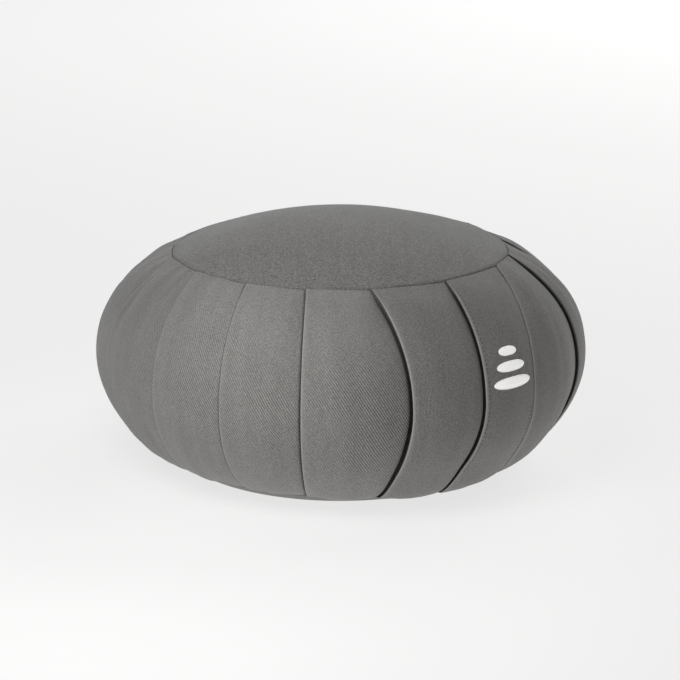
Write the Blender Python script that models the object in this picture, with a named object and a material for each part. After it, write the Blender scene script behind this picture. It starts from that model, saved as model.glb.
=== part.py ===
"""Round pleated meditation cushion (zafu): one hard-filled solid with a pleated side band,
the two sewn rounds that close it, and a small embroidered motif.

Metres, +Z up. The origin is the middle of the resting face, and the front faces -Y.
"""
import math
from collections import namedtuple

import bmesh
import bpy
from mathutils import Vector

MM = 0.001

# Driving dimensions of the filled form.
WIDEST_RADIUS = 163.6 * MM
WIDEST_HEIGHT = 74 * MM
TOP_SEAM_RADIUS = 113 * MM
TOP_SEAM_HEIGHT = 144 * MM
TOP_SEAM_SLOPE = 27          # degrees below level at which the side leaves the top seam
CROWN_RISE = 20.8 * MM
BOTTOM_SEAM_RADIUS = 118 * MM
BOTTOM_SEAM_HEIGHT = 9 * MM
BOTTOM_SEAM_SLOPE = 14       # degrees above level at which the side leaves the bottom seam
REST_RADIUS = 103 * MM       # flat where the cushion lies
BASE_CURVE = 1.6             # power of the bottom round's rise from the flat to its seam

# How far each Bezier handle of the side reaches, as a share of its own chord.
SHOULDER_HANDLE = 0.32
UPPER_HANDLE = 0.44
LOWER_HANDLE = 0.38
FOOT_HANDLE = 0.27

# Cloth and clearances.
CLOTH = 1.2 * MM
FOLDED_EDGE = 1.6 * MM       # two layers of twill, pressed
TUCK = 3.0 * MM              # how far a fold lies over its neighbour
CREST_BACK = 1.3 * MM        # from the fold's edge to its crest
GAP = 0.3 * MM
SEAM_STEP = 0.45 * MM        # half the step between two layers where a fold is caught in a seam
SEAM_FADE = 0.14             # share of the side over which a fold opens out from its seam

# Facets.
ROWS = 16
ROUND_STEPS = 64
CROWN_RINGS = 5
BASE_RINGS = 3

# The pleats, by turn from the front towards +X. Angles are in degrees at the top seam, at the
# widest and at the bottom seam. The rest are in millimetres: how proud the fold stands, how far
# its mouth gapes and how full the panel to its right is stuffed.
Pleat = namedtuple("Pleat", "top middle foot proud mouth full")
PLEATS = (
    Pleat(-54.8, -47.0, -51.0, 0.7, 0.4, 1.6),
    Pleat(-31.5, -27.5, -29.0, 0.7, 0.4, 1.8),
    Pleat(-10.8, -8.5, -10.0, 0.9, 0.7, 3.2),
    Pleat(10.0, 16.0, 10.0, 1.3, 1.5, 1.8),
    Pleat(36.5, 34.0, 29.0, 1.2, 1.5, 1.2),
    Pleat(63.8, 49.2, 53.5, 0.6, 0.3, 1.6),
    Pleat(81.0, 74.5, 71.0, 1.5, 2.6, 2.2),
    Pleat(104.0, 99.0, 96.0, 0.9, 0.8, 1.8),
    Pleat(127.5, 123.0, 121.0, 1.1, 1.0, 2.4),
    Pleat(149.0, 147.0, 145.0, 0.8, 0.5, 1.5),
    Pleat(172.0, 170.5, 168.0, 1.2, 1.4, 2.2),
    Pleat(193.5, 194.0, 193.0, 0.9, 0.6, 1.8),
    Pleat(217.0, 218.0, 216.5, 0.8, 0.9, 2.6),
    Pleat(239.0, 241.0, 240.5, 1.2, 1.3, 1.6),
    Pleat(262.0, 265.0, 263.5, 0.9, 0.6, 2.0),
    Pleat(284.0, 289.0, 286.5, 1.0, 1.0, 2.2),
)

# One panel's section, from its own folded edge to where it passes under the next fold.
# share: part of the way to the next fold; across: extra distance along the side, where the fold
# lies open; seam: the same where the fold is caught flat in a seam; layer: what it lies on.
Station = namedtuple("Station", "share across seam layer")
STATIONS = (
    Station(0.0, 0.0, 0.0, "edge"),
    Station(0.0, CREST_BACK, CREST_BACK, "crest"),
    Station(0.16, 0.0, 0.0, "panel"),
    Station(0.34, 0.0, 0.0, "panel"),
    Station(0.54, 0.0, 0.0, "panel"),
    Station(0.74, 0.0, 0.0, "panel"),
    Station(0.90, 0.0, 0.0, "panel"),
    Station(1.0, -0.4 * MM, -0.9 * MM, "entry"),
    Station(1.0, TUCK, -0.6 * MM, "pocket"),
    Station(1.0, CREST_BACK, -0.3 * MM, "underside"),
)

# The embroidered motif: three stacked pebbles on the panel to the right of this pleat.
MOTIF_PLEAT = 4
MOTIF_TURN = 41.8            # degrees from the front
MOTIF_DEPTH = 1.0 * MM
PEBBLE_STEPS = 20
PEBBLE_RINGS = (0.0, 0.45, 0.8, 1.0)
Pebble = namedtuple("Pebble", "name along_mm width_mm height_mm")
PEBBLES = (
    Pebble("low", 79.5, 32.0, 9.0),
    Pebble("mid", 69.3, 24.0, 8.2),
    Pebble("top", 59.8, 15.0, 7.4),
)


def smooth(x):
    """Ease from 0 to 1 as x goes from 0 to 1."""
    x = min(max(x, 0.0), 1.0)
    return x * x * (3 - 2 * x)


def bezier(a, b, c, d, s):
    """Point at s on the cubic with ends a and d and handles b and c."""
    k = 1 - s
    return a * k**3 + b * (3 * k * k * s) + c * (3 * k * s * s) + d * s**3


def side_curve(t):
    """Radius and height of the plain side: t is 0 at the top seam, 0.5 at the widest, 1 below."""
    widest = Vector((WIDEST_RADIUS, WIDEST_HEIGHT))
    if t <= 0.5:
        seam = Vector((TOP_SEAM_RADIUS, TOP_SEAM_HEIGHT))
        chord = (widest - seam).length
        slope = math.radians(TOP_SEAM_SLOPE)
        leave = Vector((math.cos(slope), -math.sin(slope)))
        shoulder = seam + leave * (SHOULDER_HANDLE * chord)
        upper = widest + Vector((0, UPPER_HANDLE * chord))
        return bezier(seam, shoulder, upper, widest, t * 2)
    seam = Vector((BOTTOM_SEAM_RADIUS, BOTTOM_SEAM_HEIGHT))
    chord = (widest - seam).length
    slope = math.radians(BOTTOM_SEAM_SLOPE)
    leave = Vector((math.cos(slope), math.sin(slope)))
    lower = widest - Vector((0, LOWER_HANDLE * chord))
    foot = seam + leave * (FOOT_HANDLE * chord)
    return bezier(widest, lower, foot, seam, t * 2 - 1)


def side_frame(t):
    """The plain side's point at t and its outward direction, both as (radius, height)."""
    step = 0.002
    before = side_curve(max(t - step, 0.0))
    after = side_curve(min(t + step, 1.0))
    down = (after - before).normalized()
    return side_curve(t), Vector((-down.y, down.x))


def around(angle_deg, radius, height):
    """World point at this turn from the front, radius and height."""
    turn = math.radians(angle_deg)
    return Vector((radius * math.sin(turn), -radius * math.cos(turn), height))


def fold_angle(pleat, t):
    """Turn of a fold at t: it swings mostly near the top seam, and again near the bottom one."""
    if t <= 0.5:
        return pleat.top + (pleat.middle - pleat.top) * (1 - (1 - 2 * t) ** 2)
    return pleat.middle + (pleat.foot - pleat.middle) * (2 * t - 1) ** 1.5


def next_pleat(index):
    """The pleat to the right, its angles counted on from this one's."""
    following = PLEATS[(index + 1) % len(PLEATS)]
    if index + 1 < len(PLEATS):
        return following
    return following._replace(
        top=following.top + 360,
        middle=following.middle + 360,
        foot=following.foot + 360,
    )


def panel_height(pleat, share, opened):
    """How far a panel stands off the plain side: proud at its fold, full in the middle."""
    at_fold = pleat.proud * MM * (1 - share) ** 2
    stuffed = pleat.full * MM * math.sin(math.pi * share) ** 1.3
    return (at_fold + stuffed) * opened + SEAM_STEP * (1 - 2 * share) * (1 - opened)


def layer_height(pleat, following, station, opened):
    """How far a station of the section stands off the plain side."""
    if station.layer == "panel":
        return panel_height(pleat, station.share, opened)
    if station.layer == "crest":
        return pleat.proud * MM * opened + SEAM_STEP * (1 - opened)
    if station.layer == "edge":
        return (pleat.proud * MM - FOLDED_EDGE / 2) * opened + SEAM_STEP / 2 * (1 - opened)
    under = following.proud * MM - FOLDED_EDGE
    if station.layer == "underside":
        return under * opened
    mouth = following.mouth * MM
    if station.layer == "pocket":
        return (under - mouth / 2) * opened - SEAM_STEP / 2 * (1 - opened)
    return (under - mouth) * opened - SEAM_STEP * (1 - opened)


def band_point(index, station, t):
    """World point of one station of one panel at t."""
    pleat = PLEATS[index]
    following = next_pleat(index)
    point, outward = side_frame(t)
    opened = smooth(min(t, 1 - t) / SEAM_FADE)
    start = fold_angle(pleat, t)
    end = fold_angle(following, t)
    across = station.across * opened + station.seam * (1 - opened)
    angle = start + (end - start) * station.share + math.degrees(across / point.x)
    point = point + outward * layer_height(pleat, following, station, opened)
    return around(angle, point.x, point.y)


def row_share(row):
    """Rows crowd a little towards both seams, where the side turns in."""
    even = row / ROWS
    return even - 0.35 * math.sin(2 * math.pi * even) / (2 * math.pi)


def make_band(bm):
    """A grid of cloth bent round into the pleated side, joined into a ring."""
    columns = len(PLEATS) * len(STATIONS)
    bmesh.ops.create_grid(bm, x_segments=columns, y_segments=ROWS, size=0.5)
    for vert in bm.verts:
        column = round((vert.co.x + 0.5) * columns) % columns
        row = round((0.5 - vert.co.y) * ROWS)
        index, place = divmod(column, len(STATIONS))
        vert.co = band_point(index, STATIONS[place], row_share(row))
    bmesh.ops.remove_doubles(bm, verts=bm.verts[:], dist=1e-6)


def crown_height(radius):
    """Height of the top round's outer face."""
    return TOP_SEAM_HEIGHT + CROWN_RISE * (1 - (radius / TOP_SEAM_RADIUS) ** 2)


def base_height(radius):
    """Height of the bottom round's outer face: flat, then rising to its seam."""
    past = max(radius - REST_RADIUS, 0.0) / (BOTTOM_SEAM_RADIUS - REST_RADIUS)
    return BOTTOM_SEAM_HEIGHT * past**BASE_CURVE


def crown_profile(rim, lift):
    """Section of the crown from its middle out to the rim, raised by lift."""
    radii = [rim * ring / CROWN_RINGS for ring in range(CROWN_RINGS + 1)]
    return [Vector((radius, 0, crown_height(radius) + lift)) for radius in radii]


def base_profile(rim, lift):
    """Section of the base from the edge of its flat out to the rim, raised by lift."""
    width = rim - REST_RADIUS
    radii = [REST_RADIUS + width * ring / BASE_RINGS for ring in range(BASE_RINGS + 1)]
    return [Vector((radius, 0, base_height(radius) + lift)) for radius in radii]


def turn_profile(bm, profile, steps):
    """Spin a section once round Z, closing it at the axis where it starts there."""
    verts = [bm.verts.new(point) for point in profile]
    edges = [bm.edges.new(pair) for pair in zip(verts, verts[1:])]
    bmesh.ops.spin(
        bm,
        geom=verts + edges,
        cent=(0, 0, 0),
        axis=(0, 0, 1),
        angle=2 * math.pi,
        steps=steps,
        use_merge=True,
    )
    bmesh.ops.remove_doubles(bm, verts=bm.verts[:], dist=1e-6)


def open_edges(bm, low, high):
    """Edges of the open rims whose middle lies between two heights."""
    rims = [edge for edge in bm.edges if edge.is_boundary]
    return [e for e in rims if low < (e.verts[0].co.z + e.verts[1].co.z) / 2 < high]


def fill_flat(bm, height):
    """Close the flat ring at this height with one face."""
    bmesh.ops.holes_fill(bm, edges=open_edges(bm, height - GAP / 2, height + GAP / 2), sides=0)


def paint(obj, name, colour, roughness):
    """Give an object its own Principled finish."""
    material = bpy.data.materials.new(name)
    material.use_nodes = True
    shader = material.node_tree.nodes["Principled BSDF"]
    shader.inputs["Base Color"].default_value = (*colour, 1)
    shader.inputs["Roughness"].default_value = roughness
    shader.inputs["Metallic"].default_value = 0.0
    obj.data.materials.append(material)


def finish_object(bm, name, crease_deg):
    """Turn the faces outwards and make the named object, shaded smooth below the crease angle."""
    bmesh.ops.recalc_face_normals(bm, faces=bm.faces[:])
    mesh = bpy.data.meshes.new(name)
    bm.to_mesh(mesh)
    bm.free()
    mesh.shade_smooth()
    mesh.set_sharp_from_angle(angle=math.radians(crease_deg))
    obj = bpy.data.objects.new(name, mesh)
    bpy.context.scene.collection.objects.link(obj)
    return obj


def make_body():
    """The filled solid: pleated side, crown and base, with a shallow seat for each round."""
    bm = bmesh.new()
    make_band(bm)
    middle = WIDEST_HEIGHT
    top_rim = open_edges(bm, middle, 1)
    bottom_rim = open_edges(bm, 0, middle)
    band_edges = set(top_rim + bottom_rim)
    turn_profile(bm, crown_profile(TOP_SEAM_RADIUS - GAP, -CLOTH - GAP), ROUND_STEPS)
    crown_rim = [e for e in open_edges(bm, middle, 1) if e not in band_edges]
    bmesh.ops.bridge_loops(bm, edges=top_rim + crown_rim)
    lift = CLOTH + GAP
    turn_profile(bm, base_profile(BOTTOM_SEAM_RADIUS - GAP, lift), ROUND_STEPS)
    fill_flat(bm, lift)
    base_rim = [e for e in open_edges(bm, 0, middle) if e not in band_edges]
    bmesh.ops.bridge_loops(bm, edges=bottom_rim + base_rim)
    body = finish_object(bm, "cushion_body", 35)
    paint(body, "twill_side", (0.150, 0.147, 0.141), 0.9)


def make_top_panel():
    """The top round: a crowned disc of cloth in the body's upper seat."""
    rim = TOP_SEAM_RADIUS - 2 * GAP
    bm = bmesh.new()
    turn_profile(bm, crown_profile(rim, 0), ROUND_STEPS)
    outer_rim = open_edges(bm, 0, 1)
    turn_profile(bm, crown_profile(rim, -CLOTH), ROUND_STEPS)
    inner_rim = [e for e in open_edges(bm, 0, 1) if e not in outer_rim]
    bmesh.ops.bridge_loops(bm, edges=outer_rim + inner_rim)
    panel = finish_object(bm, "top_panel", 35)
    paint(panel, "twill_top", (0.150, 0.147, 0.141), 0.9)


def make_bottom_panel():
    """The bottom round: flat where the cushion rests, rising to its seam."""
    rim = BOTTOM_SEAM_RADIUS - 2 * GAP
    bm = bmesh.new()
    turn_profile(bm, base_profile(rim, 0), ROUND_STEPS)
    fill_flat(bm, 0)
    outer_rim = open_edges(bm, -1, 1)
    turn_profile(bm, base_profile(rim, CLOTH), ROUND_STEPS)
    fill_flat(bm, CLOTH)
    inner_rim = [e for e in open_edges(bm, -1, 1) if e not in outer_rim]
    bmesh.ops.bridge_loops(bm, edges=outer_rim + inner_rim)
    panel = finish_object(bm, "bottom_panel", 35)
    paint(panel, "twill_bottom", (0.150, 0.147, 0.141), 0.9)


def side_share(distance):
    """The t that lies this far down the side from the top seam."""
    steps = 400
    walked = 0.0
    before = side_curve(0)
    for step in range(1, steps + 1):
        after = side_curve(step / steps)
        walked += (after - before).length
        if walked >= distance:
            return step / steps
        before = after
    return 1.0


def on_panel(index, turn_deg, t, lift):
    """World point on the stuffed face of a panel, lifted off it."""
    pleat = PLEATS[index]
    start = fold_angle(pleat, t)
    end = fold_angle(next_pleat(index), t)
    point, outward = side_frame(t)
    height = panel_height(pleat, (turn_deg - start) / (end - start), 1.0)
    point = point + outward * (height + lift)
    return around(turn_deg, point.x, point.y)


def make_pebble(pebble):
    """One embroidered pebble: a rounded oval pad that follows the panel."""
    bm = bmesh.new()
    turn_profile(bm, [Vector((ring, 0, 0)) for ring in PEBBLE_RINGS], PEBBLE_STEPS)
    extruded = bmesh.ops.extrude_face_region(bm, geom=bm.faces[:])
    raised = {item for item in extruded["geom"] if isinstance(item, bmesh.types.BMVert)}
    radius = side_curve(side_share(pebble.along_mm * MM)).x
    for vert in bm.verts:
        x, y = vert.co.x, vert.co.y
        rounded = math.sqrt(max(0.0, 1 - (x * x + y * y) ** 2))
        lift = 2 * GAP
        if vert in raised:
            lift += MOTIF_DEPTH * (0.45 + 0.55 * rounded)
        turn = MOTIF_TURN + math.degrees(x * pebble.width_mm * MM / 2 / radius)
        t = side_share((pebble.along_mm - y * pebble.height_mm / 2) * MM)
        vert.co = on_panel(MOTIF_PLEAT, turn, t, lift)
    obj = finish_object(bm, "motif_pebble_" + pebble.name, 35)
    paint(obj, "white_thread", (0.80, 0.79, 0.77), 0.6)


def main():
    """Clear the scene and build every piece."""
    for obj in list(bpy.data.objects):
        bpy.data.objects.remove(obj)
    make_body()
    make_top_panel()
    make_bottom_panel()
    for pebble in PEBBLES:
        make_pebble(pebble)


main()
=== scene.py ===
import functools
import math

import bmesh
import bpy
from mathutils import Matrix, Vector, noise
from mathutils.bvhtree import BVHTree


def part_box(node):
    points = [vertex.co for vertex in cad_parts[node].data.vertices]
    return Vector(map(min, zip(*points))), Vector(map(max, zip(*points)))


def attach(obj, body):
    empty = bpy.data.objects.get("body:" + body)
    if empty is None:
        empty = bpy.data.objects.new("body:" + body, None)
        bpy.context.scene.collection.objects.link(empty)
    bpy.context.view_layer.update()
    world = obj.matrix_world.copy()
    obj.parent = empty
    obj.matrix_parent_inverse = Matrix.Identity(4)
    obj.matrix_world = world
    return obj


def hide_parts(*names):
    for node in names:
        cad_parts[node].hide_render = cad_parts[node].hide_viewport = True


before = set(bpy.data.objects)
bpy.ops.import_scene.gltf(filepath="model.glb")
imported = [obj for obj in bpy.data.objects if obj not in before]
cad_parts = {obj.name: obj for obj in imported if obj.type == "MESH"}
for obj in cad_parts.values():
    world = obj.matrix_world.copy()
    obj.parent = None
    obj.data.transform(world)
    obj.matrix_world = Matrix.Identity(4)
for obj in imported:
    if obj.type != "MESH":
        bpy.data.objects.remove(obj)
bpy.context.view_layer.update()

mm = 0.001
tau = 2 * math.pi

# Sizes that every piece shares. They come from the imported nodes.
bodyLow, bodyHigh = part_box("cushion_body")
roundLow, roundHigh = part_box("top_panel")
baseLow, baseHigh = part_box("bottom_panel")
clothThickness = 1.2 * mm
seamRoom = 0.6 * mm            # a seam runs this far outside the edge of its round
topSeamRadius = (roundHigh.x - roundLow.x) / 2 + seamRoom
topSeamHeight = roundLow.z + clothThickness
crownRise = roundHigh.z - topSeamHeight
bottomSeamRadius = (baseHigh.x - baseLow.x) / 2 + seamRoom
bottomSeamHeight = baseHigh.z - clothThickness
widestRadius = (bodyHigh.x - bodyLow.x) / 2 - 2.1 * mm    # the panels are stuffed out past this
widestHeight = 74 * mm
restRadius = 103 * mm          # the flat part of the base
grainStep = 90 * mm            # from one panel's middle to the next, along the cut strip

side = {
    "topSlope": 27,           # degrees below level where the side leaves the top seam
    "bottomSlope": 14,
    "shoulder": 0.32,         # reach of each handle of the side's curve, by its chord
    "upper": 0.44,
    "lower": 0.38,
    "foot": 0.27,
    "seamFade": 0.13,         # share of the side over which a fold opens from its seam
    "mouthLeast": 0.65,       # a mouth near the seams, beside its widest
    "mouthSpread": 0.24,
    "sinkFrom": 0.35,         # share of a panel where it starts to sink to the next fold
    "sinkOver": 0.6,
    "pressedFlat": 0.6,       # share of a fold's height that is gone at the foot
    "pressedFrom": 0.6,       # share of the side where that begins, and the share it takes
    "pressedOver": 0.32,
}

# One row for each pleat, by turn from the front towards +X: degrees at the top seam, at the
# widest and at the bottom seam. Then millimetres: how proud its folded edge stands, how wide
# and how deep the mouth beside it gapes, how far the panel before it sinks, and how full and
# how creased its own panel is. press is the share of the layers' thickness that ironing left,
# low the share of the side, from the top, where the mouth is widest. The last three: how
# strongly its folded edge is lightened with painted highlight, how plainly the panel's twill
# stands out, in bump and in painted rib light and shade, and how much paler or darker the
# panel is drawn.
pleatColumns = (
    "top", "middle", "foot", "proud", "gap", "deep", "sink", "full", "crease", "press", "low",
    "highlight", "ribs", "tint",
)
pleatRows = (
    (-54.8, -47.0, -51.0, 0.25, 0.0, 0.2, 0.1, 1.2, 0.60, 0.35, 0.50, 0.3, 0.95, -0.02),
    (-31.5, -27.5, -29.0, 0.5, 0.1, 1.2, 0.3, 1.8, 0.20, 0.45, 0.50, 0.4, 0.95, 0.05),
    (-10.8, -8.5, -10.0, 0.8, 0.4, 4.5, 0.7, 3.0, 0.40, 0.80, 0.60, 0.7, 1.00, 0.04),
    (10.0, 16.0, 10.0, 1.3, 0.3, 6.0, 2.5, 1.6, 0.20, 1.00, 0.62, 0.8, 0.25, -0.02),
    (36.5, 34.0, 29.0, 1.0, 0.0, 4.5, 1.1, 1.2, 0.08, 0.80, 0.70, 0.9, 0.20, 0.00),
    (63.8, 49.2, 53.5, 0.35, 0.0, 0.1, 0.0, 1.6, 0.40, 0.20, 0.50, 1.2, 0.25, 0.00),
    (81.0, 74.5, 71.0, 1.4, 0.0, 4.0, 1.2, 2.2, 0.70, 0.90, 0.45, 0.7, 0.25, -0.02),
    (104.0, 99.0, 96.0, 0.9, 0.8, 2.0, 0.8, 1.8, 0.50, 0.90, 0.50, 0.7, 0.40, 0.01),
    (127.5, 123.0, 121.0, 1.1, 1.0, 2.6, 1.2, 2.4, 0.30, 0.90, 0.60, 0.7, 0.60, -0.02),
    (149.0, 147.0, 145.0, 0.8, 0.3, 1.2, 0.6, 1.5, 0.50, 0.70, 0.50, 0.7, 0.80, 0.02),
    (172.0, 170.5, 168.0, 1.2, 1.4, 3.0, 1.6, 2.2, 0.25, 0.90, 0.60, 0.7, 0.90, 0.00),
    (193.5, 194.0, 193.0, 0.9, 0.4, 1.4, 0.7, 1.8, 0.45, 0.80, 0.50, 0.7, 0.70, -0.02),
    (217.0, 218.0, 216.5, 0.8, 0.8, 2.0, 1.0, 2.6, 0.30, 0.80, 0.60, 0.7, 0.90, 0.02),
    (239.0, 241.0, 240.5, 1.2, 1.2, 3.0, 1.4, 1.6, 0.50, 0.90, 0.55, 0.7, 0.60, 0.00),
    (262.0, 265.0, 263.5, 0.6, 0.1, 1.0, 0.5, 1.2, 0.40, 0.80, 0.50, 0.7, 0.50, -0.03),
    (284.0, 289.0, 286.5, 0.4, 0.0, 0.6, 0.3, 1.0, 0.70, 0.70, 0.50, 0.5, 0.75, -0.15),
)
pleats = [dict(zip(pleatColumns, row)) for row in pleatRows]

# where the shoulder has settled: degrees from the front towards +X, spread, millimetres
slumps = ((-104, 30, 3.0), (101, 26, 1.6))
# and how far that reaches: shares of the top seam's radius where it sets in and over which it
# grows, then millimetres in from the widest, up from the floor and over which it grows there
slumpReach = {"inner": 0.35, "growing": 0.6, "fromWidest": 24, "above": 95, "rising": 35}

# the filling leans to one side there: share of the side where the bulge starts, shares over
# which it grows and dies away, degrees from the front towards +X, spread, millimetres
leaning = {"from": 0.74, "grows": 0.2, "ends": 0.08, "turn": 31, "spread": 30, "most": 4.4}


def ease(x):
    x = min(max(x, 0.0), 1.0)
    return x * x * (3 - 2 * x)


def bezier(a, b, c, d, s):
    k = 1 - s
    return a * k**3 + b * (3 * k * k * s) + c * (3 * k * s * s) + d * s**3


def sideCurve(t):
    # radius and height of the plain side: 0 at the top seam, 0.5 at the widest, 1 at the bottom
    widest = Vector((widestRadius, widestHeight))
    if t <= 0.5:
        seam = Vector((topSeamRadius, topSeamHeight))
        slope = math.radians(side["topSlope"])
        leave = Vector((math.cos(slope), -math.sin(slope)))
        chord = (widest - seam).length
        upper = widest + Vector((0, side["upper"] * chord))
        return bezier(seam, seam + leave * side["shoulder"] * chord, upper, widest, t * 2)
    seam = Vector((bottomSeamRadius, bottomSeamHeight))
    slope = math.radians(side["bottomSlope"])
    leave = Vector((math.cos(slope), math.sin(slope)))
    chord = (widest - seam).length
    lower = widest - Vector((0, side["lower"] * chord))
    return bezier(widest, lower, seam + leave * side["foot"] * chord, seam, t * 2 - 1)


def sideFrame(t):
    before = sideCurve(max(t - 0.002, 0.0))
    after = sideCurve(min(t + 0.002, 1.0))
    down = (after - before).normalized()
    return sideCurve(t), Vector((-down.y, down.x))


def around(angle, radius, height):
    turn = math.radians(angle)
    return Vector((radius * math.sin(turn), -radius * math.cos(turn), height))


def foldAngle(pleat, t):
    if t <= 0.5:
        return pleat["top"] + (pleat["middle"] - pleat["top"]) * (1 - (1 - 2 * t) ** 2)
    return pleat["middle"] + (pleat["foot"] - pleat["middle"]) * (2 * t - 1) ** 1.5


def sideLength():
    steps = 400
    walk = [0.0]
    for step in range(1, steps + 1):
        walk.append(walk[-1] + (sideCurve(step / steps) - sideCurve((step - 1) / steps)).length)
    return walk


sideWalk = sideLength()


def walked(t):
    # length of cloth from the top seam down to t
    place = min(max(t, 0.0), 1.0) * (len(sideWalk) - 1)
    low = min(int(place), len(sideWalk) - 2)
    return sideWalk[low] + (sideWalk[low + 1] - sideWalk[low]) * (place - low)


def slumped(point):
    # where a point of the crown or shoulder lies once the filling has settled
    radius = math.hypot(point.x, point.y)
    reach = slumpReach
    inner = ease((radius / topSeamRadius - reach["inner"]) / reach["growing"])
    outer = ease((widestRadius - radius) / (reach["fromWidest"] * mm))
    raised = ease((point.z - reach["above"] * mm) / (reach["rising"] * mm))
    turn = math.degrees(math.atan2(point.x, -point.y))
    drop = sum(most * math.exp(-((turn - centre) / spread) ** 2) for centre, spread, most in slumps)
    return point - Vector((0, 0, drop * mm * inner * outer * raised))


# materials

def linear(hexColour):
    channels = [int(hexColour[i:i + 2], 16) / 255 for i in (0, 2, 4)]
    return [c / 12.92 if c <= 0.04045 else ((c + 0.055) / 1.055) ** 2.4 for c in channels] + [1.0]


def addNode(tree, kind, settings=None, inputs=None, links=None):
    node = tree.nodes.new(kind)
    for name, value in (settings or {}).items():
        setattr(node, name, value)
    for name, value in (inputs or {}).items():
        node.inputs[name].default_value = value
    for name, socket in (links or {}).items():
        tree.links.new(socket, node.inputs[name])
    return node


def newMaterial(name):
    material = bpy.data.materials.new(name)
    material.use_nodes = True
    tree = material.node_tree
    shader = tree.nodes["Principled BSDF"]
    return material, tree, shader


twill = {
    "ribLight": "93918f",         # painted light on the tops of the wales
    "ribShade": "5a5957",        # and painted shade in the hollows between them
    "edgeHighlight": "a3a19e",          # painted highlight: the paler colour the folded edges are drawn with
    "walePitch": 1.45,         # millimetres from one diagonal rib to the next
    "waleAngle": 58,           # degrees the ribs fall towards the right
    "threadPitch": 0.9,        # real threads are half this; drawn coarser so that they show
    "mottleSize": 45.0,
    "patchSize": 60.0,         # how far apart the ribs come and go
    "streak": (9.0, 80.0),     # sizes across and along of lengthwise streaks: partly nap, partly painted light and shade of puckers
    "inside": -0.75,           # painted shade: how much darker the cloth is drawn inside the folds
    "bloom": 0.16,             # how much paler the cloth is drawn towards the seams, where its ribs fade
    "ribFade": 2.2,            # how soon the ribs fade towards a seam
    "roughness": 0.92,
    "sheen": 0.25,
    "waleDepth": 0.22,         # millimetres
    "threadDepth": 0.10,
}


# each piece's yarn: how large its slubs look in millimetres, how strong they are, and how pale
# the piece is drawn beside the others; the top's lower value is painted shade
yarns = {
    "cottonTwillSide": (0.85, 0.34, 1.0),
    "cottonTwillTop": (1.4, 0.42, 0.9),
    "cottonTwillBottom": (0.85, 0.34, 1.0),
}


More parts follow.
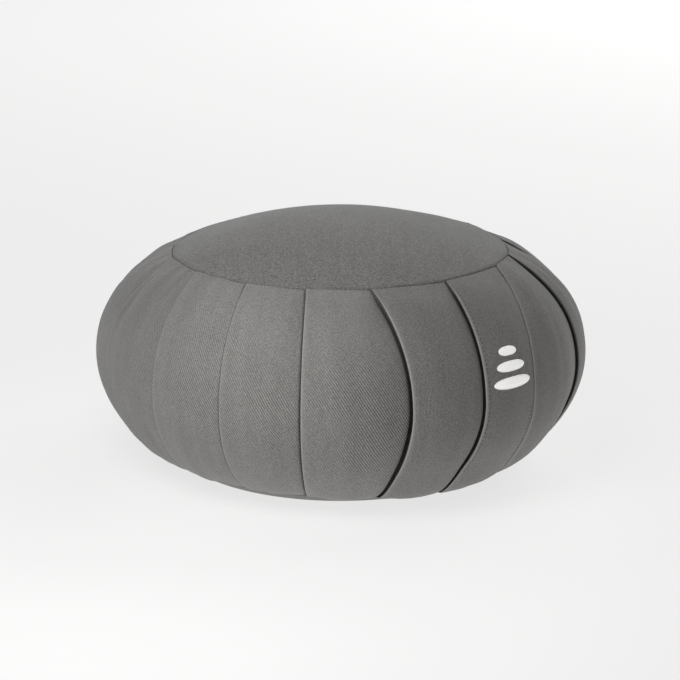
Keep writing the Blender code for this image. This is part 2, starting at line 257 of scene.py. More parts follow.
def cottonTwill(name):
    # cotton twill, yarn dyed a warm grey: dry and matte, with fine diagonal ribs and a soft bloom
    # at its edges; the ribs' light and shade are painted into its colour as well as bumped, the
    # slubs are drawn coarser than real, so that they show, and the ribs stand out as far as the
    # piece's own ribs attribute says. Painted shade inside the folds and a painted highlight on
    # the folded edges come from the band's attributes.
    fleck, contrast, pale = yarns[name]
    material, tree, shader = newMaterial(name)
    coord = addNode(tree, "ShaderNodeTexCoord")
    grain = addNode(tree, "ShaderNodeUVMap", {"uv_map": "grain"}).outputs["UV"]
    turned = addNode(tree, "ShaderNodeMapping", inputs={
        "Rotation": (0, 0, math.radians(twill["waleAngle"])),
    }, links={"Vector": grain}).outputs["Vector"]
    # a sine band repeats every tau / 20 along its vector
    waleScale = tau / 20 / (twill["walePitch"] * mm)
    wales = addNode(tree, "ShaderNodeTexWave", {"wave_type": "BANDS", "bands_direction": "Y"}, {
        "Scale": waleScale, "Distortion": 1.2, "Detail": 1.0, "Detail Scale": 0.12,
    }, {"Vector": turned}).outputs["Fac"]
    patches = addNode(tree, "ShaderNodeTexNoise", inputs={
        "Scale": 1 / (twill["patchSize"] * mm), "Detail": 1.0, "Roughness": 0.5,
    }, links={"Vector": coord.outputs["Object"]}).outputs["Fac"]
    patched = addNode(tree, "ShaderNodeMapRange", inputs={
        "From Min": 0.35, "From Max": 0.6, "To Min": 0.3, "To Max": 1.0,
    }, links={"Value": patches}).outputs["Result"]
    ribs = addNode(tree, "ShaderNodeAttribute", {"attribute_name": "ribs"}).outputs["Fac"]
    shown = addNode(tree, "ShaderNodeMath", {"operation": "MULTIPLY"}, links={
        0: patched, 1: ribs,
    }).outputs["Value"]
    wales = addNode(tree, "ShaderNodeMix", {"data_type": "FLOAT"}, {"A": 0.5}, {
        "Factor": shown, "B": wales,
    }).outputs["Result"]
    threadScale = tau / 20 / (twill["threadPitch"] * mm)
    threads = addNode(tree, "ShaderNodeTexWave", {"wave_type": "BANDS", "bands_direction": "X"}, {
        "Scale": threadScale, "Distortion": 2.5, "Detail": 1.0, "Detail Scale": 0.6,
    }, {"Vector": grain}).outputs["Fac"]
    flecks = addNode(tree, "ShaderNodeTexNoise", inputs={
        "Scale": 1 / (fleck * mm), "Detail": 2.0, "Roughness": 0.6,
    }, links={"Vector": coord.outputs["Object"]}).outputs["Fac"]
    mottle = addNode(tree, "ShaderNodeTexNoise", inputs={
        "Scale": 1 / (twill["mottleSize"] * mm), "Detail": 3.0, "Roughness": 0.55,
    }, links={"Vector": coord.outputs["Object"]}).outputs["Fac"]
    drawn = addNode(tree, "ShaderNodeMapping", inputs={
        "Scale": (1 / (twill["streak"][0] * mm), 1 / (twill["streak"][1] * mm), 1),
    }, links={"Vector": grain}).outputs["Vector"]
    streaks = addNode(tree, "ShaderNodeTexNoise", inputs={
        "Scale": 1.0, "Detail": 2.0, "Roughness": 0.5,
    }, links={"Vector": drawn}).outputs["Fac"]
    # the wales' painted light and shade: paler on their tops, darker between them
    ribbed = addNode(tree, "ShaderNodeMix", {"data_type": "RGBA"}, {
        6: linear(twill["ribShade"]), 7: linear(twill["ribLight"]),
    }, {"Factor": wales}).outputs[2]
    # the piece's paleness scales its whole tone; the top's is painted shade
    spotted = addNode(tree, "ShaderNodeMapRange", inputs={
        "From Min": 0.3, "From Max": 0.7,
        "To Min": pale * (1 - contrast), "To Max": pale * (1 + contrast),
    }, links={"Value": flecks}).outputs["Result"]
    clouded = addNode(tree, "ShaderNodeMapRange", inputs={
        "From Min": 0.3, "From Max": 0.7, "To Min": 0.96, "To Max": 1.04,
    }, links={"Value": mottle}).outputs["Result"]
    # lengthwise streaks of tone: partly nap, partly painted light and shade of puckers
    streaked = addNode(tree, "ShaderNodeMapRange", inputs={
        "From Min": 0.3, "From Max": 0.7, "To Min": 0.95, "To Max": 1.05,
    }, links={"Value": streaks}).outputs["Result"]
    tone = addNode(tree, "ShaderNodeMath", {"operation": "MULTIPLY"}, links={
        0: spotted, 1: clouded,
    }).outputs["Value"]
    tone = addNode(tree, "ShaderNodeMath", {"operation": "MULTIPLY"}, links={
        0: tone, 1: streaked,
    }).outputs["Value"]
    # the tint attribute holds each panel's tone with the painted shade inside its folds
    panelTint = addNode(tree, "ShaderNodeAttribute", {"attribute_name": "tint"}).outputs["Fac"]
    tinted = addNode(tree, "ShaderNodeMath", {"operation": "ADD"}, {1: 1.0}, {0: panelTint})
    tone = addNode(tree, "ShaderNodeMath", {"operation": "MULTIPLY"}, links={
        0: tone, 1: tinted.outputs["Value"],
    }).outputs["Value"]
    shadedColour = addNode(tree, "ShaderNodeVectorMath", {"operation": "SCALE"}, links={
        "Vector": ribbed, "Scale": tone,
    }).outputs["Vector"]
    # painted highlight: the folded edges are lightened where the band's attribute says
    edgeHighlight = addNode(tree, "ShaderNodeAttribute", {"attribute_name": "foldHighlight"}).outputs["Fac"]
    highlighted = addNode(tree, "ShaderNodeMix", {"data_type": "RGBA"}, {
        7: linear(twill["edgeHighlight"]),
    }, {"Factor": edgeHighlight, 6: shadedColour}).outputs[2]
    tree.links.new(highlighted, shader.inputs["Base Color"])
    rough = addNode(tree, "ShaderNodeMapRange", inputs={
        "To Min": twill["roughness"] - 0.04, "To Max": twill["roughness"] + 0.04,
    }, links={"Value": flecks}).outputs["Result"]
    tree.links.new(rough, shader.inputs["Roughness"])
    shader.inputs["Sheen Weight"].default_value = twill["sheen"]
    shader.inputs["Sheen Roughness"].default_value = 0.5
    shader.inputs["Specular IOR Level"].default_value = 0.25
    threadBump = addNode(tree, "ShaderNodeBump", inputs={
        "Strength": 1.0, "Distance": twill["threadDepth"] * mm,
    }, links={"Height": threads}).outputs["Normal"]
    fleckBump = addNode(tree, "ShaderNodeBump", inputs={
        "Strength": 1.0, "Distance": twill["threadDepth"] * mm,
    }, links={"Height": flecks, "Normal": threadBump}).outputs["Normal"]
    waleBump = addNode(tree, "ShaderNodeBump", inputs={
        "Strength": 1.0, "Distance": twill["waleDepth"] * mm,
    }, links={"Height": wales, "Normal": fleckBump}).outputs["Normal"]
    tree.links.new(waleBump, shader.inputs["Normal"])
    return material


thread = {
    # the seam thread is drawn darker than its own grey: painted shade of the needle holes round each
    # stitch
    "seamColour": "454341",
    "seamShade": "3a3836",     # between the turns of its ply
    "white": "fbfaf8",
    "whiteShade": "e9e7e3",
    "paintedGlow": 0.3,           # painted glow: light the floss gives off, so that it reads whiter
    "twist": 0.7,              # millimetres from one turn of the ply to the next
}


def sewingThread():
    # spun polyester thread, drawn much darker than the twill as painted shade of its needle holes:
    # round, dull, with a faint twist
    material, tree, shader = newMaterial("spunPolyesterThread")
    coord = addNode(tree, "ShaderNodeTexCoord").outputs["Object"]
    ply = addNode(tree, "ShaderNodeTexNoise", inputs={
        "Scale": 1 / (thread["twist"] * mm), "Detail": 1.0,
    }, links={"Vector": coord}).outputs["Fac"]
    mixed = addNode(tree, "ShaderNodeMix", {"data_type": "RGBA"}, {
        6: linear(thread["seamShade"]), 7: linear(thread["seamColour"]),
    }, {"Factor": ply}).outputs[2]
    tree.links.new(mixed, shader.inputs["Base Color"])
    shader.inputs["Roughness"].default_value = 0.75
    return material


def embroideryThread():
    # rayon embroidery floss, off-white: silky, so it glints along the stitches, and given a painted
    # glow
    material, tree, shader = newMaterial("rayonEmbroideryFloss")
    coord = addNode(tree, "ShaderNodeTexCoord").outputs["Object"]
    strands = addNode(tree, "ShaderNodeTexNoise", inputs={
        "Scale": 1 / (thread["twist"] * mm), "Detail": 2.0,
    }, links={"Vector": coord}).outputs["Fac"]
    mixed = addNode(tree, "ShaderNodeMix", {"data_type": "RGBA"}, {
        6: linear(thread["whiteShade"]), 7: linear(thread["white"]),
    }, {"Factor": strands}).outputs[2]
    tree.links.new(mixed, shader.inputs["Base Color"])
    shader.inputs["Roughness"].default_value = 0.42
    shader.inputs["Sheen Weight"].default_value = 0.2
    # painted glow: the floss gives off a little light of its own
    shader.inputs["Emission Color"].default_value = (1.0, 1.0, 1.0, 1.0)
    shader.inputs["Emission Strength"].default_value = thread["paintedGlow"]
    return material


def straighten(bm):
    # extrude and spin list their edges and faces in another order each time they run, and the
    # swelling of the cloth follows that order, so both are put in the order of their corners
    bm.verts.index_update()
    count = len(bm.verts)

    def place(part):
        corners = sorted(vert.index for vert in part.verts)[:3]
        return sum(corner * count**(2 - number) for number, corner in enumerate(corners))

    bm.edges.sort(key=place)
    bm.faces.sort(key=place)


def newPiece(bm, name, material):
    straighten(bm)
    mesh = bpy.data.meshes.new(name)
    bm.to_mesh(mesh)
    bm.free()
    mesh.shade_smooth()
    mesh.materials.append(material)
    piece = bpy.data.objects.new(name, mesh)
    bpy.context.scene.collection.objects.link(piece)
    return piece


def applyModifiers(piece):
    graph = bpy.context.evaluated_depsgraph_get()
    mesh = bpy.data.meshes.new_from_object(piece.evaluated_get(graph), depsgraph=graph)
    old = piece.data
    piece.modifiers.clear()
    piece.data = mesh
    bpy.data.meshes.remove(old)


# the pleated band

band = {
    "rows": 52,
    "crowding": 0.42,          # how much closer rows lie near a seam
    "panelSteps": 11,
    "endHold": 0.3,            # how firmly a panel's two ends stay put as the filling swells
    "first": 4.2,              # millimetres from its fold's edge to where a panel proper starts
    "last": 4.4,               # and from its end to the next fold's mouth
    "foldedEdge": 1.7,         # millimetres through two layers, before pressing
    "seamStep": 0.45,          # half the step between two layers caught in the seam
    "polygon": 0.9,            # how far the seam pulls in between two folds
    "wander": 0.6,             # how far a fold strays from its line
    "crownRings": 6,
    "baseRings": 4,
    "rimDrop": ((0.4, 3.2), (2.4, 3.0)),   # inwards and down, clear of the round's turned edge
    "underCloth": 0.4,         # clear of the rounds that cover the filling
    "capSides": 42,
    "capShare": 0.7,           # the closing disc's radius by that of the ring round it
    "clearOfFloor": 0.3,
    "creaseWidth": 10.0,
    "creaseLength": 80.0,
    "creaseDepth": 1.1,
    "fineCrease": (2.3, 1.4, 0.4),     # how much closer across and along, and how strong
}

# A panel's section, along the cloth: out of its own fold, over the panel and under the next
# fold. The rows beside a fold lie so many millimetres from its edge: across where it is open,
# caught where a seam holds it flat. held is how firmly it stays put as the filling swells.
sectionColumns = ("layer", "across", "caught", "held")
ownRows = (
    ("pocket", 4.0, -0.6, 1.0),
    ("back", 2.4, -0.4, 1.0),
    ("underside", 0.9, -0.2, 1.0),
    ("edge", 0.0, 0.0, 1.0),
    ("lip", 0.5, 0.5, 1.0),
    ("crest", 1.5, 1.5, 0.9),
)
nextRows = (
    ("dip", -1.2, -2.0, 0.85),
    ("brink", -0.3, -1.6, 0.95),
    ("entry", 0.6, -1.2, 1.0),
    ("under", 2.4, -0.9, 1.0),
)
nextLayers = [row[0] for row in nextRows]
folded = ("pocket", "back", "underside")
highlighted = {"crest": 0.2, "lip": 0.9, "edge": 0.7}    # painted highlight: how much each station of a folded edge is lightened
# how much of a gaping mouth's width lies past each station
pastGap = {"dip": 1.0, "brink": 1.0, "entry": 0.5, "under": 0.0}
# painted shade: how far each station inside a fold is darkened, for the shade there
shadeInsideFold = {"pocket": 1.0, "back": 1.0, "underside": 1.0, "under": 1.0, "entry": 1.0, "brink": 0.55}


def makeSection():
    own = [dict(zip(sectionColumns, row), beside="own") for row in ownRows]
    following = [dict(zip(sectionColumns, row), beside="next") for row in nextRows]
    steps = band["panelSteps"]
    spans = [step / steps for step in range(steps + 1)]
    panel = [
        {"layer": "panel", "beside": "panel", "span": span, "held": band["endHold"] * (span in (0, 1))}
        for span in spans
    ]
    return own + panel + following


section = makeSection()


def openedAt(t, gap=0.0):
    # a fold that gapes opens sooner below its seam
    return ease(min(t, 1 - t) / (side["seamFade"] / (1 + gap)))


def flattened(t):
    # the cushion's own weight presses the folds flatter towards the floor
    return 1 - side["pressedFlat"] * ease((t - side["pressedFrom"]) / side["pressedOver"])


def mouthAt(pleat, t):
    # a mouth is widest at its own height, and closes towards both seams
    least = side["mouthLeast"]
    return least + (1 - least) * math.exp(-((t - pleat["low"]) / side["mouthSpread"]) ** 2)


def rowShare(row):
    # rows crowd towards both seams, where the side turns in
    even = row / band["rows"]
    return even - band["crowding"] * math.sin(tau * even) / tau


@functools.lru_cache(maxsize=None)
def strayedAngle(index, t):
    # a fold's turn at t, with the small wander of a hand-laid pleat
    count = len(pleats)
    pleat = pleats[index % count]
    drift = noise.noise(Vector((index % count * 7.31, t * 3.1, 2.7)))
    stray = math.degrees(drift * band["wander"] * mm * openedAt(t) / sideCurve(t).x)
    return foldAngle(pleat, t) + stray + 360 * (index // count)


def panelHeight(index, share, opened, pressed):
    # its own fold holds a panel up, the filling rounds it, and it sinks towards the next fold
    own, following = pleats[index], pleats[(index + 1) % len(pleats)]
    share = min(max(share, 0.0), 1.0)
    atFold = own["proud"] * pressed * (1 - share) ** 2
    stuffed = own["full"] * math.sin(math.pi * share) ** 1.2
    sinking = ease((share - side["sinkFrom"]) / side["sinkOver"])
    sunk = following["sink"] * pressed * sinking
    caught = band["seamStep"] * (1 - 2 * share)
    return ((atFold + stuffed - sunk) * opened + caught * (1 - opened)) * mm


def layerHeight(index, layer, share, t):
    # millimetres that a station stands off the plain side, where its fold is open and then where
    # a seam holds it
    if layer == "panel":
        return panelHeight(index, share, openedAt(t), flattened(t))
    fold = pleats[(index + (layer in nextLayers)) % len(pleats)]
    opened = openedAt(t, fold["gap"])
    thick = band["foldedEdge"] * fold["press"]
    proud = fold["proud"] * flattened(t)
    underside = proud - thick
    deep = fold["deep"] * mouthAt(fold, t)
    sunk = -fold["sink"] * flattened(t)
    bed = min(sunk, underside) - deep
    step = band["seamStep"]
    free, caught = {
        "crest": (proud, step),
        "lip": (proud - 0.15 * thick, step * 0.8),
        "edge": (proud - 0.5 * thick, step / 2),
        "underside": (underside, 0.0),
        "back": (underside - deep * 0.1, -step * 0.2),
        "pocket": ((underside + bed) / 2, -step / 2),
        "under": (bed, -step * 0.8),
        "entry": (bed * 0.85 + sunk * 0.15, -step),
        "brink": (bed * 0.3 + sunk * 0.7, -step),
        "dip": (bed * 0.06 + sunk * 0.94, -step),
    }[layer]
    return (free * opened + caught * (1 - opened)) * mm


def footBulge(turn, t):
    # how far the filling has pushed the foot out on the side it leans to
    away = (turn - leaning["turn"] + 180) % 360 - 180
    along = ease((t - leaning["from"]) / leaning["grows"]) * ease((1 - t) / leaning["ends"])
    return leaning["most"] * mm * along * math.exp(-(away / leaning["spread"]) ** 2)


def bandPoint(index, station, t):
    # world point of a station, and how far along the cloth it lies from its panel's middle
    point, outward = sideFrame(t)
    start = strayedAngle(index, t)
    end = strayedAngle(index + 1, t)
    width = math.radians(end - start) * point.x
    following = pleats[(index + 1) % len(pleats)]
    fold = following if station["beside"] == "next" else pleats[index]
    opened = openedAt(t, fold["gap"])
    gap = following["gap"] * mm * mouthAt(following, t) * openedAt(t, following["gap"])
    if station["beside"] == "panel":
        first = band["first"] * mm
        place = first + (width - band["last"] * mm - gap - first) * station["span"]
    else:
        place = (station["across"] * opened + station["caught"] * (1 - opened)) * mm
    if station["beside"] == "next":
        place += width - gap * pastGap[station["layer"]]
    share = place / width
    spot = point + outward * layerHeight(index, station["layer"], share, t)
    turn = start + (end - start) * share
    spot += outward * footBulge(turn, t)
    inner = 4 * share * (1 - share) if 0 < share < 1 else 0.0
    pulled = band["polygon"] * mm * inner * (1 - opened)
    along = place - 0.5 * width
    if station["layer"] in folded:
        along = -0.5 * width - band["foldedEdge"] * mm - place
    return around(turn, spot.x - pulled, max(spot.y, band["clearOfFloor"] * mm)), along


def makeBand():
    rows = band["rows"]
    columns = len(pleats) * len(section)
    bm = bmesh.new()
    bmesh.ops.create_grid(bm, x_segments=columns, y_segments=rows, size=0.5)
    grain = bm.loops.layers.uv.new("grain")
    highlightLayer = bm.verts.layers.float.new("foldHighlight")
    hold = bm.verts.layers.float.new("hold")
    ribs = bm.verts.layers.float.new("ribs")
    tint = bm.verts.layers.float.new("tint")
    cells = {}
    for vert in bm.verts:
        column = round((vert.co.x + 0.5) * columns)
        row = round((0.5 - vert.co.y) * rows)
        index, place = divmod(column % columns, len(section))
        t = rowShare(row)
        point, along = bandPoint(index, section[place], t)
        cells[vert] = (column, t, along)
        vert.co = point
        vert[hold] = section[place]["held"]
        if row in (0, rows):
            vert[hold] = 1.0
        # painted highlight along the folded edges, stronger where a fold stands open
        highlight = highlighted.get(section[place]["layer"], 0.0) * pleats[index]["highlight"]
        vert[highlightLayer] = highlight * (0.3 + 0.7 * openedAt(t))
        drawn = abs(math.sin(math.pi * t)) ** twill["ribFade"]
        vert[ribs] = pleats[index]["ribs"] * drawn
        share = section[place].get("span", 0.0 if section[place]["beside"] == "own" else 1.0)
        own, following = pleats[index], pleats[(index + 1) % len(pleats)]
        toneAndFoldShade = own["tint"] + (following["tint"] - own["tint"]) * share * 0.5
        # painted shade inside the folds
        if section[place]["layer"] in shadeInsideFold:
            fold = following if section[place]["beside"] == "next" else own
            toneAndFoldShade += twill["inside"] * shadeInsideFold[section[place]["layer"]] * min(1.0, fold["deep"])
        vert[tint] = toneAndFoldShade + twill["bloom"] * own["ribs"] * (1 - drawn)
    pocketReach = (ownRows[0][1] - nextRows[-1][1]) * mm
    for face in bm.faces:
        first = min(cells[vert][0] for vert in face.verts)
        owner = first // len(section)
        for loop in face.loops:
            column, t, along = cells[loop.vert]
            if column // len(section) != owner:
                _, along = bandPoint(owner, section[-1], t)
                along += pocketReach
            loop[grain].uv = (along + owner * grainStep, -walked(t))
    bmesh.ops.remove_doubles(bm, verts=bm.verts[:], dist=1e-6)
    return bm, hold


def rimEdges(bm, top):
    rims = [edge for edge in bm.edges if edge.is_boundary]
    return [e for e in rims if ((e.verts[0].co.z + e.verts[1].co.z) / 2 > widestHeight) == top]


def crownHeight(radius):
    return topSeamHeight + crownRise * (1 - (radius / topSeamRadius) ** 2)


def baseHeight(radius):
    past = max(radius - restRadius, 0.0) / (bottomSeamRadius - restRadius)
    return bottomSeamHeight * past**1.6


def closeOver(bm, hold, edges, rings):
    # carry the rim on over the filling in rings of (radius, height), then close it with a small
    # disc of few sides, because a pole where hundreds of edges meet subdivides badly
    for radius, height in rings:
        grown = bmesh.ops.extrude_edge_only(bm, edges=edges)["geom"]
        edges = [item for item in grown if isinstance(item, bmesh.types.BMEdge)]
        for vert in [item for item in grown if isinstance(item, bmesh.types.BMVert)]:
            turn = math.atan2(vert.co.y, vert.co.x)
            vert.co = (radius * math.cos(turn), radius * math.sin(turn), height)
            vert[hold] = 1.0
    disc = bmesh.ops.create_circle(
        bm, cap_ends=True, segments=band["capSides"], radius=radius * band["capShare"],
        matrix=Matrix.Translation((0, 0, height)),
    )["verts"]
    for vert in disc:
        vert[hold] = 1.0
    discRim = [e for e in bm.edges if e.is_boundary and e.verts[0] in disc and e.verts[1] in disc]
    bmesh.ops.bridge_loops(bm, edges=edges + discRim)


def closeBand(bm, hold):
    drop = clothThickness + band["underCloth"] * mm
    rings = [
        (topSeamRadius - inset * mm, topSeamHeight - depth * mm)
        for inset, depth in band["rimDrop"]
    ]
    for ring in range(1, band["crownRings"]):
        radius = topSeamRadius * (1 - ring / band["crownRings"])
        rings.append((radius, crownHeight(radius) - drop))
    closeOver(bm, hold, rimEdges(bm, True), rings)
    rim = bottomSeamRadius - clothThickness
    rings = [(rim, baseHeight(bottomSeamRadius) + drop)]
    for ring in range(1, band["baseRings"] + 1):
        radius = rim + (restRadius - rim) * ring / band["baseRings"]
        rings.append((radius, baseHeight(radius) + drop))
    closeOver(bm, hold, rimEdges(bm, False), rings)
    bmesh.ops.recalc_face_normals(bm, faces=bm.faces[:])


stuffing = {
    "quality": 6,
    "mass": 0.3,
    "stretch": 40,
    "shear": 15,
    "bend": 1.5,
    "pressure": 1.1,
    "spare": 0.006,            # the cloth is cut this much larger than the form that it covers
    "frames": 16,
    "mostMove": 3.0,           # millimetres
    "kept": 0.6,               # share of the swelling that is kept, for a firm, smooth outline
}


def stuff(piece):
    # let the filling swell the cloth between the stations that hold it
    group = piece.vertex_groups.new(name="hold")
    for vert, value in zip(piece.data.vertices, piece.data.attributes["hold"].data):
        group.add([vert.index], value.value, "REPLACE")
    start = [vert.co.copy() for vert in piece.data.vertices]
    cloth = piece.modifiers.new("stuffing", "CLOTH")
    cloth.settings.quality = stuffing["quality"]
    cloth.settings.mass = stuffing["mass"]
    cloth.settings.tension_stiffness = stuffing["stretch"]
    cloth.settings.compression_stiffness = stuffing["stretch"]
    cloth.settings.shear_stiffness = stuffing["shear"]
    cloth.settings.bending_stiffness = stuffing["bend"]
    cloth.settings.use_pressure = True
    cloth.settings.uniform_pressure_force = stuffing["pressure"]
    cloth.settings.shrink_min = -stuffing["spare"]
    cloth.settings.shrink_max = -stuffing["spare"]
    cloth.settings.vertex_group_mass = "hold"
    cloth.settings.pin_stiffness = 1.0
    cloth.settings.effector_weights.gravity = 0
    cloth.collision_settings.use_collision = False
    cloth.point_cache.frame_start = 1
    cloth.point_cache.frame_end = stuffing["frames"]
    scene = bpy.context.scene
    for frameNumber in range(1, stuffing["frames"] + 1):
        scene.frame_set(frameNumber)
    applyModifiers(piece)
    scene.frame_set(1)
    most = stuffing["mostMove"] * mm
    for vert, was in zip(piece.data.vertices, start):
        move = (vert.co - was) * stuffing["kept"]
        vert.co = was + move * min(1.0, most / max(move.length, 1e-9))


def subdivide(piece, levels):
    fine = piece.modifiers.new("subdivide", "SUBSURF")
    fine.use_limit_surface = False
    fine.levels = levels
    fine.render_levels = levels
    applyModifiers(piece)
    piece.data.shade_smooth()


def creaseCloth(piece):
    # soft lengthwise creases in each panel, where it was gathered into its folds
    mesh = piece.data
    uv = mesh.uv_layers["grain"].data
    spots = {}
    for loop in mesh.loops:
        spots[loop.vertex_index] = uv[loop.index].uv
    hold = mesh.attributes["hold"].data
    normals = [vert.normal.copy() for vert in mesh.vertices]
    wide, long = band["creaseWidth"] * mm, band["creaseLength"] * mm
    closer, shorter, strength = band["fineCrease"]
    for number, vert in enumerate(mesh.vertices):
        along, down = spots[number]
        owner = round(along / grainStep)
        across = along - owner * grainStep
        pleat = pleats[owner % len(pleats)]
        broad = noise.noise(Vector((across / wide, down / long, owner * 3.7)))
        spot = Vector((across / wide * closer, down / long * shorter, owner * 3.7 + 50))
        narrow = noise.noise(spot)
        free = max(0.0, 1 - hold[number].value / band["endHold"])
        depth = pleat["crease"] * band["creaseDepth"] * mm * free
        vert.co += normals[number] * depth * (broad + strength * narrow)


def moveVerts(piece, rule):
    for vert in piece.data.vertices:
        vert.co = rule(vert.co)
    piece.data.update()


def pleatedBand(material):
    bm, hold = makeBand()
    closeBand(bm, hold)
    piece = newPiece(bm, "pleatedBand", material)
    stuff(piece)
    subdivide(piece, 1)
    creaseCloth(piece)
    moveVerts(piece, slumped)
    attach(piece, "root")
    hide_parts("cushion_body")
    return piece


# the two rounds

rounds = {
    "steps": 192,
    "crownRings": 44,
    "flatRings": 8,            # in the base's flat, and then in its rise to the seam
    "riseRings": 10,
    "allowance": 3,            # millimetres of cloth past each seam
    "topOver": 0.2,            # millimetres that the top round reaches past its seam line
    "bottomShort": 0.25,       # and that the bottom round stops short of its own
    "rollIn": 0.9,             # millimetres that a round's edge turns down into its seam
    "rollRings": 4,
    "rollSpread": 0.3,         # how far that edge leans in, by its depth
    "dents": 0.7,              # millimetres
    "dentsApart": 14,          # in a metre
    "edgeShare": 0.2,          # share of the radius, at the rim, that stays free of dents
}


def turnProfile(bm, profile, steps):
    verts = [bm.verts.new(point) for point in profile]
    edges = [bm.edges.new(pair) for pair in zip(verts, verts[1:])]
    bmesh.ops.spin(
        bm, geom=verts + edges, cent=(0, 0, 0), axis=(0, 0, 1), angle=tau, steps=steps,
        use_merge=True,
    )
    bmesh.ops.remove_doubles(bm, verts=bm.verts[:], dist=1e-6)


def seamPull(angle, t):
    # how far a seam is drawn in at this turn: least at a fold, most between two
    for index in range(-1, len(pleats) + 1):
        start = strayedAngle(index, t)
        end = strayedAngle(index + 1, t)
        if start <= angle < end:
            share = (angle - start) / (end - start)
            return band["polygon"] * mm * 4 * share * (1 - share)
    return 0.0


def turnFromFront(point):
    turn = math.degrees(math.atan2(point.x, -point.y))
    return turn if turn >= pleats[0]["top"] else turn + 360


def grainFromAbove(bm):
    grain = bm.loops.layers.uv.new("grain")
    for face in bm.faces:
        for loop in face.loops:
            loop[grain].uv = (loop.vert.co.x, loop.vert.co.y)


def thicken(piece):
    wall = piece.modifiers.new("thickness", "SOLIDIFY")
    wall.thickness = clothThickness
    wall.offset = -1
    applyModifiers(piece)


def topRound(material):
    rings = rounds["crownRings"]
    rim = topSeamRadius + rounds["topOver"] * mm
    profile = [Vector((rim * r / rings, 0, crownHeight(rim * r / rings))) for r in range(rings + 1)]
    roll = rounds["rollIn"] * mm
    for step in range(1, rounds["rollRings"] + 1):
        bend = math.pi / 2 * step / rounds["rollRings"]
        inward = roll * rounds["rollSpread"] * (1 - math.cos(bend))
        profile.append(Vector((rim - inward, 0, crownHeight(rim) - roll * math.sin(bend))))
    bm = bmesh.new()
    turnProfile(bm, profile, rounds["steps"])
    grainFromAbove(bm)
    for vert in bm.verts:
        radius = math.hypot(vert.co.x, vert.co.y)
        if radius < mm:
            continue
        near = ease((radius / rim - 1 + rounds["edgeShare"]) / rounds["edgeShare"])
        pull = seamPull(turnFromFront(vert.co), 0.0) * near
        vert.co *= Vector((1 - pull / radius, 1 - pull / radius, 1))
        spot = vert.co * rounds["dentsApart"]
        dent = noise.noise(spot) + 0.5 * noise.noise(spot * 2.3)
        vert.co.z += dent * rounds["dents"] * mm * (1 - near)
    bmesh.ops.recalc_face_normals(bm, faces=bm.faces[:])
    piece = newPiece(bm, "topRound", material)
    thicken(piece)
    moveVerts(piece, slumped)
    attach(piece, "root")
    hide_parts("top_panel")
    return piece


def bottomRound(material):
    rim = bottomSeamRadius - rounds["bottomShort"] * mm
    flat, rise = rounds["flatRings"], rounds["riseRings"]
    radii = [restRadius * r / flat for r in range(flat + 1)]
    radii += [restRadius + (rim - restRadius) * r / rise for r in range(1, rise + 1)]
    profile = [Vector((radius, 0, baseHeight(radius))) for radius in radii]
    bm = bmesh.new()
    turnProfile(bm, profile, rounds["steps"])
    grainFromAbove(bm)
    bmesh.ops.recalc_face_normals(bm, faces=bm.faces[:])
    bmesh.ops.reverse_faces(bm, faces=[f for f in bm.faces if f.normal.z > 0])
    piece = newPiece(bm, "bottomRound", material)
    thicken(piece)
    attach(piece, "root")
    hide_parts("bottom_panel")
    return piece


# stitching

sewing = {
    "pitch": 2.8,              # millimetres from one stitch to the next
    "length": 1.8,
    "thick": 0.5,
    "above": 0.05,
    "uneven": 0.25,
    "besideFold": 2.6,         # from a topstitched edge
    "ringSteps": 2400,         # steps in which a seam's path is walked, and a fold's
    "foldSteps": 900,
    "topSeam": (0.4, 1.0),     # outwards and up from where the rounds meet the band
    "bottomSeam": (0.9, 0.0),
    "offSide": 0.6,            # outwards from the plain side
}


def clothSurface(piece):
    mesh = piece.data
    return BVHTree.FromPolygons([v.co for v in mesh.vertices], [p.vertices for p in mesh.polygons])


def stitchPlace(spot, along, outward, length, thick):
    # one stitch lies along the cloth, and is thinner through than across
    along = (along - outward * along.dot(outward)).normalized()
    across = outward.cross(along)
    turn = Matrix((along, across, outward)).transposed().to_4x4()
    return Matrix.Translation(spot) @ turn @ Matrix.Diagonal((length, thick, thick * 0.8, 1))


def stitchesAlong(surface, path, seed):
    # stitches a pitch apart along a path, each laid on the cloth nearest to it
    places = []
    due = 0.0
    for number, (start, end) in enumerate(zip(path, path[1:])):
        due -= (end - start).length
        if due > 0:
            continue
        due += sewing["pitch"] * mm
        spot, outward, _, _ = surface.find_nearest(start)
        if outward.dot(start - Vector((0, 0, widestHeight))) < 0:
            outward = -outward
        change = noise.noise(Vector((number * 0.37, seed, 0.0))) * sewing["uneven"]
        spot += outward * (sewing["above"] + change * 0.3) * mm
        length = sewing["length"] * (1 + change) * mm
        places.append(stitchPlace(spot, end - start, outward, length, sewing["thick"] * mm))
    return places


def sew(name, places, material):
    # one stitch, pulled thin where it goes into the cloth, repeated and laid in each place
    bm = bmesh.new()
    bmesh.ops.create_uvsphere(bm, u_segments=6, v_segments=4, radius=0.5)
    piece = newPiece(bm, name, material)
    row = piece.modifiers.new("row", "ARRAY")
    row.count = len(places)
    row.use_relative_offset = False
    applyModifiers(piece)
    each = len(piece.data.vertices) // len(places)
    for number, vert in enumerate(piece.data.vertices):
        vert.co = places[number // each] @ vert.co
    piece.data.update()
    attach(piece, "root")
    return piece


def ringPath(radius, height, t):
    steps = sewing["ringSteps"]
    path = []
    for step in range(steps + 1):
        turn = 360 * step / steps + pleats[0]["top"]
        path.append(around(turn, radius - seamPull(turn, t), height))
    return path


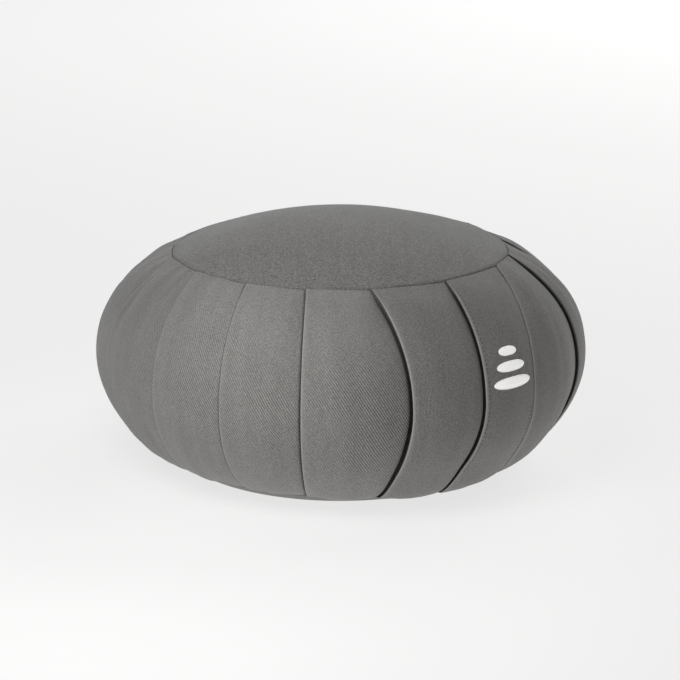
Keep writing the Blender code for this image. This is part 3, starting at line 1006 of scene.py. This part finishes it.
def foldPath(index, beside, start, end):
    # a line that keeps so many millimetres to the right of a fold's edge
    path = []
    steps = sewing["foldSteps"]
    for step in range(steps + 1):
        t = start + (end - start) * step / steps
        point = sideCurve(t)
        turn = strayedAngle(index, t) + math.degrees(beside * mm / point.x)
        path.append(around(turn, point.x + sewing["offSide"] * mm, point.y))
    return path


def seamStitches(surface, material):
    out, up = sewing["topSeam"]
    path = ringPath(topSeamRadius + out * mm, topSeamHeight + up * mm, 0.0)
    path = [slumped(point) for point in path]
    sew("topSeamStitches", stitchesAlong(surface, path, 1), material)
    out, up = sewing["bottomSeam"]
    path = ringPath(bottomSeamRadius + out * mm, bottomSeamHeight + up * mm, 1.0)
    sew("bottomSeamStitches", stitchesAlong(surface, path, 2), material)


def foldStitches(surface, material):
    # the panel with the motif is topstitched down its left side, and low down on its right
    beside = sewing["besideFold"]
    places = stitchesAlong(surface, foldPath(4, beside, 0.04, 0.96), 3)
    places += stitchesAlong(surface, foldPath(5, -beside, 0.55, 0.96), 4)
    sew("panelTopstitches", places, material)


# the embroidered motif: three stacked pebbles in satin stitch

motif = {
    "pitch": 0.85,             # millimetres from one thread to the next
    "thread": 1.1,             # a strand is half this; drawn fuller so that it shows
    "slant": 14,               # degrees that the stitches lean
    "above": 0.25,
    "shortest": 1.2,
    "ragged": 0.05,            # how unevenly the stitches end, by their length
    "ends": (2.6, 0.45),       # the curve of a pebble's ends
}
pebbleColumns = ("node", "piece", "width", "height")
pebbleRows = (
    ("motif_pebble_low", "satinPebbleLow", 32.0, 9.0),
    ("motif_pebble_mid", "satinPebbleMid", 24.0, 8.2),
    ("motif_pebble_top", "satinPebbleTop", 15.0, 7.4),
)
pebbles = [dict(zip(pebbleColumns, row)) for row in pebbleRows]


def satinPebble(pebble, surface, material):
    low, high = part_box(pebble["node"])
    centre, outward, _, _ = surface.find_nearest((low + high) / 2)
    across = Vector((0, 0, 1)).cross(outward).normalized()
    if across.x < 0:
        across = -across
    count = round(pebble["width"] / motif["pitch"])
    full, blunt = motif["ends"]
    places = []
    for number in range(count):
        place = (number + 0.5) / count * 2 - 1
        spot = centre + across * place * pebble["width"] / 2 * mm
        spot, outward, _, _ = surface.find_nearest(spot)
        upward = (Vector((0, 0, 1)) - outward * outward.z).normalized()
        lean = Matrix.Rotation(math.radians(motif["slant"]), 3, outward)
        length = pebble["height"] * (1 - abs(place) ** full) ** blunt
        ragged = 1 + motif["ragged"] * noise.noise(Vector((number * 1.7, pebble["width"], 0)))
        places.append(stitchPlace(
            spot + outward * motif["above"] * mm, lean @ upward, outward,
            max(length * ragged, motif["shortest"]) * mm, motif["thread"] * mm,
        ))
    piece = sew(pebble["piece"], places, material)
    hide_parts(pebble["node"])


# stage

stage = {
    "colour": "8e8e8d",        # a lit table under thin white paper: part glow, part shade
    "glow": 0.718,
    "size": 14.0,
}


def makeStage():
    bm = bmesh.new()
    bmesh.ops.create_grid(bm, x_segments=1, y_segments=1, size=stage["size"] / 2)
    material, tree, shader = newMaterial("paperOnLightTable")
    shader.inputs["Base Color"].default_value = linear(stage["colour"])
    shader.inputs["Roughness"].default_value = 1.0
    shader.inputs["Specular IOR Level"].default_value = 0.0
    shader.inputs["Emission Color"].default_value = (1.0, 1.0, 1.0, 1.0)
    shader.inputs["Emission Strength"].default_value = stage["glow"]
    floor = newPiece(bm, "floor", material)


# camera and light

view = {
    "distance": 1.65,
    "rise": 16.1,              # degrees above level
    "aim": 78.5,               # millimetres above the floor
    "lens": 128.4,
    "sensor": 36,
}

# turn in degrees from the front towards +X, rise in degrees above level, then metres, as seen
# from the cushion
lightColumns = ("name", "turn", "rise", "distance", "wide", "tall", "watts")
lightRows = (
    ("keyStrip", -12, 35, 0.55, 0.15, 0.70, 0.60),
    ("keySquare", -30, 35, 0.45, 0.20, 0.20, 0.73),
    ("lowFill", -25, 10, 0.50, 0.15, 0.15, 0.11),
    ("backRight", 130, 30, 3.0, 1.6, 1.6, 28.0),
    ("back", 160, 25, 3.0, 1.6, 1.6, 34.0),
    ("backLeft", -140, 30, 3.0, 1.6, 1.6, 8.0),
)
lights = [dict(zip(lightColumns, row)) for row in lightRows]
worldStrength = 0.01


def makeCamera():
    data = bpy.data.cameras.new("camera")
    data.lens = view["lens"]
    data.sensor_width = view["sensor"]
    camera = bpy.data.objects.new("camera", data)
    bpy.context.scene.collection.objects.link(camera)
    rise = math.radians(view["rise"])
    back = Vector((0, -math.cos(rise), math.sin(rise)))
    camera.location = Vector((0, 0, view["aim"] * mm)) + back * view["distance"]
    camera.rotation_euler = (-back).to_track_quat("-Z", "Y").to_euler()
    bpy.context.scene.camera = camera


def makeLights():
    target = Vector((0, 0, widestHeight))
    for light in lights:
        data = bpy.data.lights.new(light["name"], "AREA")
        data.shape = "RECTANGLE"
        data.size = light["wide"]
        data.size_y = light["tall"]
        data.energy = light["watts"]
        lamp = bpy.data.objects.new(light["name"], data)
        bpy.context.scene.collection.objects.link(lamp)
        rise = math.radians(light["rise"])
        away = around(light["turn"], math.cos(rise), math.sin(rise))
        lamp.location = target + away * light["distance"]
        lamp.rotation_euler = (-away).to_track_quat("-Z", "Y").to_euler()
        lamp.visible_camera = False
    world = bpy.data.worlds.new("dimRoom")
    world.use_nodes = True
    world.node_tree.nodes["Background"].inputs["Color"].default_value = (1, 1, 1, 1)
    world.node_tree.nodes["Background"].inputs["Strength"].default_value = worldStrength
    bpy.context.scene.world = world
    bpy.context.scene.view_settings.view_transform = "Standard"


makeCamera()
makeLights()
makeStage()
print("stage: camera, lights and floor")
bandPiece = pleatedBand(cottonTwill("cottonTwillSide"))
surface = clothSurface(bandPiece)
print("stage: pleated band")
topRound(cottonTwill("cottonTwillTop"))
bottomRound(cottonTwill("cottonTwillBottom"))
print("stage: top and bottom rounds")
seamThread = sewingThread()
seamStitches(surface, seamThread)
foldStitches(surface, seamThread)
print("stage: stitching")
floss = embroideryThread()
for pebble in pebbles:
    satinPebble(pebble, surface, floss)
print("stage: motif")
